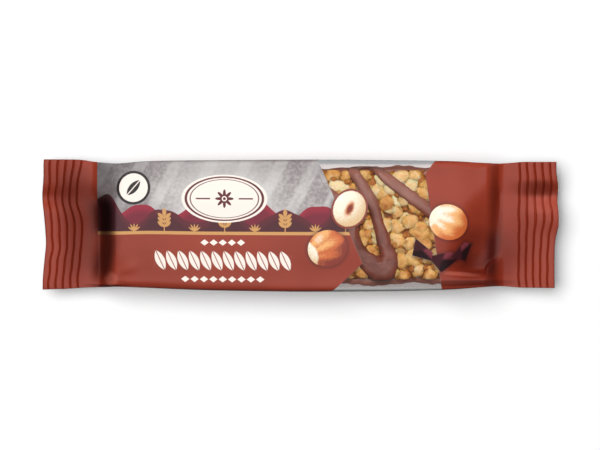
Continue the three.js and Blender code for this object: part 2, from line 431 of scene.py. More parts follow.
def filmGrid():
    x = filmRows()[:, None]
    d = abs(x)
    isRight = x > 0
    start = atEnds(isRight, *[end["start"] for end in ends])
    cut = atEnds(isRight, *[end["end"] for end in ends])
    corner = film["cornerRadius"]

    closing = smooth(d, film["slopeStart"], film["slopeEnd"])
    halfGap = blend(film["sealGap"], film["weldGap"], smooth(d, cut - film["weldLength"], cut)) / 2
    middle = blend(bodyHeight / 2, film["sealLevel"], closing)
    top = blend(bodyHeight, film["sealLevel"] + halfGap, closing)
    under = blend(film["foot"], film["sealLevel"] - halfGap, closing)
    radius = blend(corner, halfGap, closing)
    halfWidth = (reachAt(x, 1) + reachAt(x, -1)) / 2

    # The sheet isn't stretched: what the flattened section doesn't need folds inwards,
    # except in the seals, where the folds are pressed into one with the rest.
    quarter = (bodyWidth / 2 - corner) + corner * (math.pi / 2 - 1) + bodyHeight / 2
    spare = quarter - (halfWidth - radius) - radius * math.pi / 2
    wallHeight = (top - under) / 2 - radius
    fold = np.sqrt(np.clip(spare ** 2 - wallHeight ** 2, 0, None)) * smooth(closing, 0, film["tuckBy"])
    fold = fold * (1 - smooth(d, film["slopeEnd"], start))

    y, z, walk = ringRound(halfWidth, radius, top, under, middle, fold, spare, film["steps"], film["steps"])

    isUnder = abs(walk) > bodyWidth / 2 + bodyHeight * 0.8  # from low on the walls
    finRoom = film["finRoom"] * (1 - smooth(abs(y), *film["overFin"])) * (1 - closing) * isUnder

    share = smooth(d, start, cut)
    out, lift = [bulgesAt(key, isRight, y, share) * smooth(d, film[key + "From"], start)
                 for key in ("out", "lift")]

    turns = (d - start) / film["pleatPitch"]
    offMiddle = abs(turns % 1 - 0.5) * film["pleatPitch"]
    valley = np.clip(1 - offMiddle / film["valleyReach"], 0, 1) ** film["valleyCurve"]
    wave = blend(-valley, np.cos(turns * 2 * math.pi), film["ripple"])
    pleat = film["pleatDepth"] * smooth(turns, 0, 0.3) * wave

    # the top face, from the straight slope to its own shape
    isTop = 1 - smooth(abs(walk) - bodyWidth / 2, -corner, corner / 2)
    comeDown = comeDownAt(x, y)
    sealTop = film["sealLevel"] + halfGap
    fullDrop = bodyHeight - sealTop
    wanted = sealTop + fullDrop * (1 - comeDown) * (1 - sagAt(x, y) / fullDrop)
    gentle = wavesAt(slack, x, y) - slack["below"] * slack["depth"]
    wanted = wanted + (gentle + foldsAt(x, y)) * (1 - closing)
    dents = (wanted - top) * isTop * (1 - smooth(d, start - 1, start + 1))
    # it stays above the folded wall and the underside
    overFold = radius + wallHeight * np.clip((halfWidth - abs(y)) / np.maximum(fold, 0.1), 0, 1)
    overTuck, overInside = film["sink"]
    room = blend(overTuck * overFold, overInside * (top - under), smooth(halfWidth - fold - abs(y), 0, 3))
    dents = np.maximum(dents, -room)

    inSeal = between(d, start - 2, start + 1, cut - 2.2, cut)
    points = withX(
        np.sign(x) * (d + out + wavesAt(waver, x, y) * inSeal),
        y + (reachAt(x, 1) - reachAt(x, -1)) / 2,
        z + lift + pleat + dents + creasesAt(x, y) + finRoom)
    return points, np.stack([np.broadcast_to(x, y.shape), walk], axis=2)


filmPoints, filmSheet = filmGrid()
filmPack = gridObject("filmPack", filmPoints, filmSheet)
print("film", filmPoints.shape[0], "rows of", filmPoints.shape[1])

finSeal = {
    "width": 10, "thick": 0.18, "clear": 0.04,  # clear of the film that it lies under
    "columns": (-1, -0.985, -0.9, -0.7, -0.35, 0, 0.35, 0.7, 0.9, 0.985, 1),
    "ridgePitch": 1.2, "ridgeDepth": 0.06, "rowsPerRidge": 6,
    "thinEdge": 0.4,  # share of the thickness that is left at its long edges
}


def underAt(places, across):
    # points on the film's underside, at places along the sheet and across it
    rows = filmRows()
    i = np.clip(np.searchsorted(rows, places) - 1, 0, len(rows) - 2)
    share = ((places - rows[i]) / (rows[i + 1] - rows[i]))[:, None, None]
    ring = blend(filmPoints[i], filmPoints[i + 1], share)
    steps = film["steps"][0] - 1  # columns on each half of the flat underside
    flat = np.concatenate([ring[:, :steps + 1][:, ::-1], ring[:, -steps:][:, ::-1]], axis=1)
    return np.array([np.stack([np.interp(across, strip[:, 1], strip[:, k]) for k in range(3)], axis=1)
                     for strip in flat])


def makeFin():
    # the seal along the back, folded flat under the pack from one cut end to the other
    straight = film["slopeStart"]
    rows = filmRows()
    ridges = round(2 * straight / finSeal["ridgePitch"])
    body = np.linspace(-straight, straight, ridges * finSeal["rowsPerRidge"] + 1)
    places = np.concatenate([rows[rows < -straight], body, rows[rows > straight]])
    share = np.array(finSeal["columns"])
    upper = underAt(places, share * finSeal["width"] / 2)
    upper[:, :, 2] -= finSeal["clear"]
    ridge = (1 + np.cos(2 * math.pi * places / finSeal["ridgePitch"])) / 2 * (abs(places) < straight)
    thick = finSeal["thick"] + finSeal["ridgeDepth"] * ridge[:, None] * (abs(share) < 0.95)
    lower = upper.copy()
    lower[:, :, 2] -= thick * np.clip(1 - abs(share) ** 40, finSeal["thinEdge"], 1)
    return gridObject("finSeal", np.concatenate([lower[:, ::-1], upper], axis=1), capped=True)


finStrip = makeFin()


# The print is fields of colour and plain motifs, in millimetres on the flat film: u along
# the pack and v across it, from the middle of the top.
inks = {name: linear(*colour) for name, colour in {
    "ground": (150, 49, 22), "groundDeep": (140, 43, 18),
    "paperDark": (140, 131, 131), "paperLight": (182, 175, 174), "paperGlow": (220, 217, 214),
    "paperSmoke": (84, 76, 78),
    "maroon": (92, 20, 34), "maroonDeep": (72, 14, 26),
    "crimson": (150, 24, 50), "crimsonDeep": (116, 16, 40),
    "tan": (205, 150, 88), "cream": (248, 236, 226), "char": (34, 24, 26), "charred": (20, 10, 12),
    "nutSkin": (132, 44, 26), "nutGlow": (206, 104, 50), "nutLight": (240, 176, 108),
    "nutHeart": (214, 130, 70), "flesh": (250, 240, 218), "fleshDeep": (222, 186, 138),
    "shard": (34, 14, 18), "shardLight": (122, 52, 62), "shardDeep": (62, 24, 30),
    # inks for painted light: a painted highlight and painted shades, the darkest for pinched creases
    "lit": (205, 112, 96), "shade": (52, 12, 8), "pinch": (26, 8, 10), "pinchDeep": (42, 6, 12),
    # the clear film's painted sheen and painted shade where it turns down; the first is also the lining's own
    # pale tone
    "hazeTop": (206, 206, 204), "hazeNear": (76, 80, 84), "hazeFar": (136, 140, 143),
    "innerFilm": (222, 222, 220),
}.items()}
layout = {
    "printEnd": -62.9,  # where the plain end field meets the design
    "groundAgain": (27, 28),  # and where the plain field beside the window begins
    "paperTop": 27, "lineLow": -2.95, "lineHigh": -1.95,
    "firstCrest": -60.6, "wavePitch": 18.6, "rippleRise": 0.5, "sprigHeight": 5.8, "firstSprig": -54,
    # each wave's shift, foot, rise, climb at the end, and inks
    "waves": ((0.42, 2.2, 4.2, 0, "crimson", "crimsonDeep"), (0, 0.4, 4.6, 4.2, "maroon", "maroonDeep")),
    # the waves climb over the first span; painted shade of the end fold darkens them over the second
    "climb": (-51, -60), "charred": (-55.5, -60.5),  # where the waves climb and darken
    "bandPitch": 9.5, "bandAngle": 62,
    "plaque": (-23.5, 8.2), "plaqueSize": (13.2, 7.4), "badge": (-51.5, 11.4), "badgeRadius": 5.2,
    "grainRow": (-45, -3), "grainAt": -10.9, "grainCount": 12,
    "dotRows": ((-31, -17, -5.3, 5), (-37, -11, -16.6, 9)),
    "windowTip": (19.0, -11.6), "tipSlants": (0.432, 1.053),
    "windowNotch": (38.4, 15.9), "notchSlants": (0.14, 0.7), "windowEdge": 26,
}
# The printed nuts and chocolate shards: kind, middle, half length and half width, turn.
nuts = (
    ("shard", (44.4, -10.8), (3.4, 2.3), 24),
    ("shard", (37.6, -8.2), (3.2, 1.9), -28),
    ("shard", (50.2, -8.0), (2.9, 1.7), 58),
    ("half", (15.0, 5.2), (6.3, 5.5), 64),
    ("whole", (8.2, -7.0), (6.1, 5.6), 20),
    ("peeled", (45.4, 1.0), (6.0, 5.4), -24),
)
# Painted shade and painted highlights: dark spots where the film is pinched or hangs in its own shade,
# light ones where it catches the light: middle, half length and half width, turn, softness, depth, ink.
shades = (
    ((-60.8, -9.8), (2.8, 8.4), -10, 0.6, 0.66, "pinch"),
    ((-61.0, 2.4), (3.3, 5.6), 0, 0.6, 0.94, "pinch"),
    ((-59.4, -8.6), (2.4, 6.6), -19, 0.7, 0.4, "shade"),
    ((-69.2, 0.0), (4.6, 16.0), 0, 0.8, 0.46, "shade"),
    ((-73.0, 12.5), (7.0, 6.5), 0, 0.8, 0.16, "shade"),
    ((73.2, 11.3), (5.6, 2.4), 0, 0.8, 0.5, "shade"),
    ((74.6, 6.4), (4.6, 2.6), 0, 0.8, 0.2, "lit"),
    ((65.6, -6.0), (4.6, 12.0), 0, 0.9, 0.16, "shade"),
    ((-63.8, -1.0), (2.6, 13.0), 0, 0.8, 0.44, "shade"),
    ((-59.0, -18.8), (5.6, 0.45), 0, 0.6, 0.7, "pinch"),
    ((-58.4, -16.6), (1.6, 1.9), -40, 0.7, 0.4, "lit"),
    ((53.4, -9.4), (9.5, 8.4), 0, 0.75, 0.42, "shade"),
    ((59.4, -2.0), (1.5, 14.0), 0, 0.8, 0.24, "shade"),
    ((60.9, 3.4), (1.5, 9.5), 0, 0.8, 0.36, "shade"),
    ((53.2, -12.4), (3.8, 3.6), 0, 0.8, 0.3, "shade"),
    ((59.0, -9.8), (1.9, 7.2), -4, 0.85, 0.62, "pinchDeep"),
    ((50.0, -17.9), (14.0, 1.0), 0, 0.6, 0.6, "shade"),
    ((48.9, -15.0), (5.2, 0.6), -5, 0.7, 0.34, "lit"),
)


# Shapes are distances in millimetres, below 0 inside.

def turned(u, v, middle, degrees=0):
    # coordinates about a middle, along and across a direction
    c, s = math.cos(math.radians(degrees)), math.sin(math.radians(degrees))
    x, y = u - middle[0], v - middle[1]
    return x * c + y * s, y * c - x * s


def repeated(x, pitch):
    # x from -pitch/2 to pitch/2 in each repeat
    return x.math("FLOORED_MODULO", pitch) - pitch / 2


def radial(x, y):
    return (x ** 2 + y ** 2) ** 0.5


def ellipse(x, y, halfLength, halfWidth):
    return (radial(x / halfLength, y / halfWidth) - 1) * min(halfLength, halfWidth)


def leaf(x, y, length, width):
    # pointed at both ends, along x
    radius = (length ** 2 / 4 + width ** 2 / 4) / width
    return radial(x, abs(y) + (radius - width / 2)) - radius


def outsideRow(u, low, high):
    return abs(u - (low + high) / 2) - (high - low) / 2


def windowShape(u, v):
    (tipX, tipY), (notchX, notchY) = layout["windowTip"], layout["windowNotch"]
    (tipUp, tipDown), (notchDown, notchUp) = layout["tipSlants"], layout["notchSlants"]
    leftSide = u - (tipX - (v - tipY) * tipUp).least(tipX + (v - tipY) * tipDown)
    rightSide = (notchX - (v - notchY) * notchDown).most(notchX + (v - notchY) * notchUp) - u
    return -leftSide.least(rightSide).least(layout["windowEdge"] - abs(v))


def sprigShape(x, y, height):
    # a stem with three pairs of leaves and one at the tip
    size = height / 4.4
    side = abs(x)
    stem = (side - 0.16).most(abs(y - height / 2) - height / 2)
    shape = leaf(y - height, side, 2.0 * size, 0.95 * size).least(stem)
    for share in (0.28, 0.5, 0.72):
        px, py = turned(side, y, (0.78 * size, height * share + 0.5), 40)
        shape = shape.least(leaf(px, py, 2.0 * size, 0.85 * size))
    return shape


def tuftShape(x, y):
    # five blades of grass that fan out from one place
    side = abs(x)
    shape = leaf(*turned(side, y, (0, 1.1), 90), 2.6, 0.5)
    for degrees, length in ((62, 2.5), (36, 2.3)):
        c, s = math.cos(math.radians(degrees)), math.sin(math.radians(degrees))
        shape = shape.least(leaf(*turned(side, y, (c * length / 2, s * length / 2), degrees), length, 0.5))
    return shape


def nutShapes(u, v):
    # kind, shape, coordinates along and across, and ones about the middle that don't turn
    for kind, middle, (halfLength, halfWidth), degrees in nuts:
        x, y = turned(u, v, middle, degrees)
        if kind == "shard":
            taper = halfWidth * (1 - x / halfLength * 0.35)
            shape = (abs(x + y * 0.3) - halfLength).most(abs(y) - taper)
        else:
            shape = ellipse(x, y, halfLength, halfWidth)
        upright = (u - middle[0]) / halfLength, (v - middle[1]) / halfLength
        yield kind, shape, (x / halfLength, y / halfWidth), upright


def within(shape, soft=0.07):
    return shape.ramp(soft, -soft)


def inked(paint, shape, ink):
    return within(shape).colour(paint, ink)


def inkedAll(paint, *marks):
    for shape, ink in marks:
        paint = inked(paint, shape, ink)
    return paint


def groundTone(tone):
    return tone.ramp(0.3, 0.7).colour("ground", "groundDeep")


def paperField(sheet, u, v):
    # mottled, with pale slanting bands and pale round the plaque; painted shade darkens it towards the top
    # edge, where the film turns down, and towards the end, where the film slopes down, with a smoky edge
    pitch = layout["bandPitch"]
    bands, _ = turned(u, v, (0, 0), layout["bandAngle"] - 90)
    mottle = sheet.noise(0.9, 5, 0.62)
    cloud = sheet.noise(0.16)
    paper = (mottle * 0.6 + cloud * 0.4).ramp(0.38, 0.62).colour("paperDark", "paperLight")
    paper = (abs(repeated(bands, pitch)).ramp(pitch * 0.24, pitch * 0.12) * 0.4).colour(paper, "paperGlow")
    paper = (radial(*turned(u, v, layout["plaque"])).ramp(24, 9) * 0.6).colour(paper, "paperGlow")
    # painted shade towards the top edge, where the film turns down
    paper = (v.ramp(10, 20) * 0.3).colour(paper, "paperSmoke")
    # painted shade where the film slopes down at the end, with a smoky edge
    endShade = (u + cloud * 14 - 7).ramp(layout["printEnd"] + 22, layout["printEnd"] - 2)
    return (endShade * 0.72).colour(paper, "paperSmoke")


# A motif is a row of shapes, each with its ink.

def border(u, v):
    # waves over a thin line, with a sprig under each crest and a tuft between
    pitch = layout["wavePitch"]
    ripple = ((u * 0.93).math("SINE") + (u * 0.53 + 1).math("SINE") * 1.6) * (layout["rippleRise"] / 2)
    for shift, foot, rise, climb, ink, deepInk in layout["waves"]:
        x = repeated(u - layout["firstCrest"] + (shift - 0.5) * pitch, pitch)
        edge = foot + ((x * (2 * math.pi / pitch)).math("COSINE") * 0.5 + 0.5) * rise + ripple
        edge = edge + u.ramp(*layout["climb"], 0, climb)
        tint = (edge - v).ramp(0.3, 3.2).colour(ink, deepInk)
        # painted shade of the end fold: the waves darken to near black towards the end
        tint = u.ramp(*layout["charred"], 0, 0.9).colour(tint, "charred")
        yield v - edge, tint
    aboveLine = v - layout["lineHigh"]
    yield sprigShape(x, aboveLine, layout["sprigHeight"]).most(layout["firstSprig"] - u), "tan"
    yield tuftShape(repeated(u - layout["firstCrest"], pitch), aboveLine), "tan"
    yield aboveLine, "tan"


def plaque(u, v):
    # blank, with two rules round it and a rosette between two dashes
    x, y = turned(u, v, layout["plaque"])
    rim = ellipse(x, y, *layout["plaqueSize"])
    ring = radial(x, y)
    petals = 2.1 + 0.75 * (y.math("ARCTAN2", x) * 8).math("COSINE")
    rosette = (ring - petals).most(0.8 - ring).least(ring - 0.45)
    dashes = (abs(abs(x) - 6.6) - 2.2).most(abs(y) - 0.22)
    yield rim, "cream"
    yield (abs(rim + 0.75) - 0.22).least(abs(rim + 1.5) - 0.1), "maroon"
    yield rosette.least(dashes), "maroon"


def badge(u, v):
    # round and plain, with one grain
    rim = radial(*turned(u, v, layout["badge"])) - layout["badgeRadius"]
    x, y = turned(u, v, layout["badge"], 48)
    yield rim, "char"
    yield rim + 0.8, "cream"
    yield leaf(x, y, 6.2, 2.7).most(0.16 - abs(y)), "char"


def grains(u, v):
    # a row of slanting grains between two rows of lozenges
    low, high = layout["grainRow"]
    x = repeated(u - low, (high - low) / layout["grainCount"])
    y = v - layout["grainAt"]
    lean = x * 0.9 + y * 0.42
    marks = leaf(y * 0.9 - x * 0.42, lean, 6.6, 2.8).most(0.13 - abs(lean)).most(outsideRow(u, low, high))
    for low, high, at, count in layout["dotRows"]:
        lozenge = abs(repeated(u - low, (high - low) / count)) * 0.75 + abs(v - at) - 0.95
        marks = marks.least(lozenge.most(outsideRow(u, low, high)))
    yield marks, "cream"


def paintNut(paint, nut, sheet):
    kind, shape, (x, y), (across, up) = nut
    # light from the upper left on a ball seen from above, about 0 to 1
    light = up * 0.5 - across * 0.42 + (1 - across ** 2 - up ** 2).most(0) ** 0.5 * 0.75
    grain = sheet.noise(1.4, 3) - 0.5
    if kind == "shard":
        tint = (y + x * 0.5 + grain * 0.4).ramp(-0.1, 0.6).colour("shard", "shardLight")
        tint = within(y * 0.7 - x - 0.35, 0.2).colour("shardDeep", tint)
        return inked(paint, shape, tint)
    if kind == "half":
        hollow = ellipse(x, y, 0.36, 0.2) + grain * 0.08
        tint = (light + grain * 0.5).ramp(0.1, 0.9).colour("fleshDeep", "flesh")
        tint = hollow.ramp(0.1, -0.08).colour(tint, "nutHeart")
        tint = (hollow + y * 0.2).ramp(0, -0.12).colour(tint, "nutSkin")
        tint = (x ** 2 + y ** 2 + grain * 0.1).ramp(0.74, 0.86).colour(tint, "nutSkin")
    else:
        dark, mid, pale = (("nutSkin", "nutGlow", "nutLight") if kind == "whole"
                           else ("nutGlow", "nutLight", "flesh"))
        fan = (y.math("ARCTAN2", x + 1.5) * 16).math("SINE")
        value = light * 0.9 + fan * 0.12 + grain * 0.5
        tint = value.ramp(0, 0.55).colour(dark, mid)
        tint = value.ramp(0.5, 0.92).colour(tint, pale)
        cap = (x + y ** 2 * 0.5 + grain * 0.25).ramp(-0.5, -0.6)
        tint = cap.colour(tint, (light + grain).ramp(0, 0.9).colour("fleshDeep", "flesh"))
    tint = ((light + grain * 0.1).ramp(0.95, 1.02) * 0.5).colour(tint, (1, 1, 1, 1))
    return inked(paint, shape, tint)


def paintedSheet(sheet, u, v):
    # gives the paint and how much of its gloss is lost
    paint = inkedAll(paperField(sheet, u, v), *border(u, v), *plaque(u, v), *badge(u, v))
    isGround = within(v - layout["lineLow"]).most(within(layout["paperTop"] - v))
    isGround = isGround.most(within(u - layout["printEnd"])).most(u.ramp(*layout["groundAgain"]))
    paint = inkedAll(isGround.colour(paint, groundTone(sheet.noise(0.05))), *grains(u, v))

    matt = u * 0
    # painted shade and painted highlights from the shades table; the shaded spots lose their gloss too
    for middle, (halfLength, halfWidth), degrees, soft, depth, ink in shades:
        x, y = turned(u, v, middle, degrees)
        reach = ((x / halfLength) ** 2 + (y / halfWidth) ** 4) ** 0.5
        dark = reach.ramp(1 + soft, 1 - soft) * depth
        paint = dark.colour(paint, ink)
        if ink != "lit":
            matt = matt.most(dark)
    paint = (abs(v).ramp(19, 21) * 0.4).colour(paint, "shade")

    for nut in nutShapes(u, v):
        kind, shape = nut[:2]
        paint = (shape.ramp(1.3, 0) * 0.45).colour(paint, "shade")
        paint = paintNut(paint, nut, sheet)
        if kind == "shard":
            matt = matt.most(within(shape) * 0.7)
    return paint, matt


def sheetPlace(maker):
    sheet = maker.add("ShaderNodeUVMap", {"uv_map": "sheet"})
    return sheet, sheet.axis(0), sheet.axis(1)


def printedShare(u, v):
    # 1 where there is print and 0 where the film is clear
    clear = -windowShape(u, v)
    for _, shape, _, _ in nutShapes(u, v):
        clear = clear.least(shape)
    return within(clear, 0.05)


filmLook = {
    "crinkle": 240, "crinkleStrength": 0.12,
    "specular": 0.78, "clearRoughness": 0.14, "printRoughness": 0.52,
    "dullSpecular": 0.05, "dullRoughness": 0.9,
    # painted reflection: the clear film's tint shows more where it is seen aslant
    "glanceIor": 1.22, "glanceSheen": 0.4,  # clear film shows more where it is seen aslant
    # places across for the clear film's painted sheen and shade: its start, its end, and where its tint
    # changes from painted sheen to painted shade
    "sheenShadeStart": (18.6, 19.8), "sheenShadeEnd": (22.8, 21.3), "sheenShadeLow": 0.12, "sheenShadeHigh": 0.85,
    "sheenShadeTurn": (19, 20.9), "farShift": 0.35,
    # painted light: the lining glows, standing in for light that bounces about in the pack and gathers along
    # the far side of its floor
    "wallGlow": 0.1, "nearGlow": 0.2, "farGlow": 0.5, "wallPlace": (31, 34),
}


def clearSheenShade(v, least):
    # the clear film's share of painted sheen and shade and its tint, both by how far it has turned down at
    # the pack's sides
    side = abs(v)
    isFar = v.ramp(-1, 1)
    # painted sheen where the film begins to turn down and painted shade at its edge on the near side; a grey
    # of both on the far side
    tint = isFar.colour(side.ramp(*filmLook["sheenShadeTurn"]).colour("hazeTop", "hazeNear"), "hazeFar")
    start = (side + isFar * filmLook["farShift"]).ramp(*filmLook["sheenShadeStart"])
    share = start * side.ramp(*filmLook["sheenShadeEnd"], filmLook["sheenShadeLow"], filmLook["sheenShadeHigh"])
    return least + share, tint


def printedFilm(maker):
    sheet, u, v = sheetPlace(maker)
    paint, matt = paintedSheet(sheet, u, v)
    printed = printedShare(u, v)
    bump = maker.bump(objectPoint(maker).noise(filmLook["crinkle"]), filmLook["crinkleStrength"], 0.0006)
    glance = maker.add("ShaderNodeFresnel", {}, {"IOR": filmLook["glanceIor"]})
    # painted sheen and painted shade where the clear film turns down at the sides
    sheenShade, sheenShadeTint = clearSheenShade(v, glance * filmLook["glanceSheen"])
    tint = printed.colour(sheenShadeTint, paint)
    roughness = printed.ramp(0, 1, filmLook["clearRoughness"], filmLook["printRoughness"])
    glossy = maker.shader({"Base Color": tint, "Roughness": roughness,
                           "Specular IOR Level": filmLook["specular"], "Normal": bump})
    dull = maker.shader({"Base Color": tint, "Roughness": filmLook["dullRoughness"],
                         "Specular IOR Level": filmLook["dullSpecular"], "Normal": bump})
    through = maker.add("ShaderNodeBsdfTransparent")
    return maker.mixShader(printed.most(sheenShade), through, maker.mixShader(matt, glossy, dull))


def innerFilm(maker):
    sheet, u, v = sheetPlace(maker)
    # painted light: the lining glows, most along the far side of the pack's floor
    wallGlow, nearGlow, farGlow = [(*[filmLook[key]] * 3, 1) for key in ("wallGlow", "nearGlow", "farGlow")]
    floorGlow = v.ramp(-1, 1).colour(nearGlow, farGlow)
    glow = abs(v).ramp(*filmLook["wallPlace"]).colour(wallGlow, floorGlow)
    lining = maker.shader({"Base Color": sheet.noise(0.3).colour("hazeTop", "innerFilm"), "Roughness": 0.3,
                           "Emission Color": glow, "Emission Strength": 1.0})
    through = maker.add("ShaderNodeBsdfTransparent")
    return maker.mixShader(printedShare(u, v).ramp(0, 1, 0.004, 1), through, lining)


def finFilm(maker):
    where = objectPoint(maker)
    fine = where.noise(900)
    return maker.shader({
        "Base Color": groundTone(where.noise(60)), "Roughness": fine.ramp(0.3, 0.7, 0.34, 0.42),
        "Specular IOR Level": 0.42, "Normal": maker.bump(fine, 0.1, 0.0004)})


finStrip.data.materials.append(makeMaterial("finFilm", finFilm))
filmPack.data.materials.append(makeMaterial("printedFilm", printedFilm))
filmPack.data.materials.append(makeMaterial("innerFilm", innerFilm))
wall = filmPack.modifiers.new("wall", "SOLIDIFY")
wall.thickness = film["wall"] * mm
wall.offset = -1
wall.material_offset = 1
print("film printed")


# The bar's core is what shows between the pieces.
bar = {
    "length": 103, "middle": -3.8, "across": 0.1, "granolaWidth": 31.4,
    "coreTop": 12.7, "coreFoot": 2.6, "radius": 2.2,
    "ceiling": 14.6, "ceilingSoft": 1.3,  # the film presses the pieces down to this
    "sides": 17.0, "endRoom": 0.8,  # and the mould pressed them in to this
    "clearance": 0.4,  # between what's inside and the film
    "relief": 0.6, "reliefSize": 2.2, "reliefSeed": 3,
    "lowestPiece": 7.5,  # below it the chocolate base covers the granola
    "facingDown": -0.4,  # faces that look down more than this hold no pieces
    "tilt": 0.5, "density": 4e5,  # how far pieces lean, and the most of them per square metre
    "finish": {"name": "syrup", "pale": (192, 124, 52), "mid": (156, 84, 26), "deep": (96, 46, 12),
               "patch": 2.2, "gloss": 0.34},
}


def barRows(length, radius, inner=110, outer=7):
    # rows along a bar with rounded ends, and how much of its section each has
    turn = np.linspace(0, math.pi / 2, outer)[1:]
    straight = length / 2 - radius
    end = straight + np.sin(turn) * radius
    x = np.concatenate([-end[::-1], np.linspace(-straight, straight, inner), end]) + bar["middle"]
    share = np.concatenate([np.cos(turn)[::-1], np.ones(inner), np.cos(turn)])
    return x[:, None], share[:, None]


def roughen(thing, size, depth, seed):
    mesh = thing.data
    places = [v.co / mm for v in mesh.vertices]
    amounts = softNoise(places, size, seed) * depth + softNoise(places, size / 2.3, seed + 1) * depth / 2
    for vertex, amount, normal in zip(mesh.vertices, amounts, [v.normal.copy() for v in mesh.vertices]):
        vertex.co += normal * float(amount) * mm


def makeCore():
    x, share = barRows(bar["length"], bar["radius"])
    middle = (bar["coreTop"] + bar["coreFoot"]) / 2
    halfHeight = (bar["coreTop"] - bar["coreFoot"]) / 2 - bar["radius"] * (1 - share)
    halfWidth = bar["granolaWidth"] / 2 - bar["radius"] * (1 - share)
    radius = bar["radius"] * np.clip(share, 0.05, 1)
    y, z, _ = ringRound(halfWidth, radius, middle + halfHeight, middle - halfHeight, middle, 0 * x,
                        halfHeight - radius, (16, 4, 4), (8, 4, 4))
    core = gridObject("granolaCore", withX(x, y + bar["across"], z), capped=True)
    roughen(core, bar["reliefSize"], bar["relief"], bar["reliefSeed"])
    return core


granolaCore = makeCore()


def chunkMesh(name, seed, facets, lumps, shape, fineness=3):
    # a rounded lump, broken flat on some sides
    rng = np.random.default_rng(seed)
    bm = bmesh.new()
    bmesh.ops.create_icosphere(bm, subdivisions=fineness, radius=1)
    planes = [(Vector(rng.normal(size=3)).normalized(), rng.uniform(0.5, 0.85)) for _ in range(facets)]
    for vertex in bm.verts:
        for normal, reach in planes:
            over = vertex.co.dot(normal) - reach
            if over > 0:
                vertex.co -= normal * over * 0.92
        vertex.co *= 1 + lumps * noise.noise(vertex.co * 1.4 + Vector((seed, 0, 0)))
        vertex.co *= 1 + lumps * 0.4 * noise.noise(vertex.co * 4 + Vector((0, seed, 0)))
        vertex.co = Vector([c * s for c, s in zip(vertex.co, shape)])
    return meshFrom(bm, name)


def flakeMesh(name, seed, fineness=3):
    # a rolled oat: a thin oval with a groove along it and a wavy edge
    mesh = chunkMesh(name, seed, 0, 0.12, (1, 0.78, 1), fineness)
    for vertex in mesh.vertices:
        x, y, z = vertex.co
        groove = 0.09 * math.exp(-(y / 0.12) ** 2)
        vertex.co.z = z * 0.2 - math.copysign(groove, z) * (abs(z) > 0.3) + 0.1 * math.sin(2.4 * x + seed)
    return mesh


# Spacing and size across are in millimetres; sink is how deep a piece sits in the core. A
# finish has three colours, the size of its patches in millimetres, and its roughness.
granola = {
    "nutPieces": {
        "shapes": 8, "spacing": 6.4, "size": (5.6, 8.2), "sink": 0.8, "seed": 11,
        "finish": {"name": "nutFlesh", "pale": (242, 212, 168), "mid": (224, 170, 98), "deep": (184, 110, 34),
                   "patch": 3.0, "gloss": 0.34}},
    "riceCrisps": {
        "shapes": 6, "spacing": 3.9, "size": (4.2, 6.2), "sink": 0.1, "seed": 23,
        "finish": {"name": "crisp", "pale": (240, 210, 164), "mid": (220, 164, 92), "deep": (168, 94, 26),
                   "patch": 2.4, "gloss": 0.32}},
    "oatFlakes": {
        "shapes": 4, "spacing": 8.0, "size": (3.8, 5.4), "sink": -0.7, "seed": 37,
        "finish": {"name": "oats", "pale": (234, 208, 168), "mid": (204, 160, 102), "deep": (164, 106, 50),
                   "patch": 1.8, "gloss": 0.42}},
    "crumbs": {
        "shapes": 4, "spacing": 1.9, "size": (1.2, 2.8), "sink": -0.7, "seed": 41,
        "finish": {"name": "crumb", "pale": (220, 164, 94), "mid": (182, 112, 42), "deep": (126, 60, 16),
                   "patch": 1.6, "gloss": 0.36}},
}


def pieceShape(kind, i):
    name = f"{kind}{i}"
    seed = 100 * (1 + list(granola).index(kind)) + i
    if kind == "nutPieces":
        return chunkMesh(name, seed, 1 + i % 2, 0.26, (1, 0.88 - 0.05 * (i % 3), 0.74))
    if kind == "riceCrisps":
        return chunkMesh(name, seed, 0, 0.24, (1, 0.86, 0.8))
    if kind == "oatFlakes":
        return flakeMesh(name, seed)
    return chunkMesh(name, seed, 4, 0.2, (1, 0.8, 0.7), fineness=2)


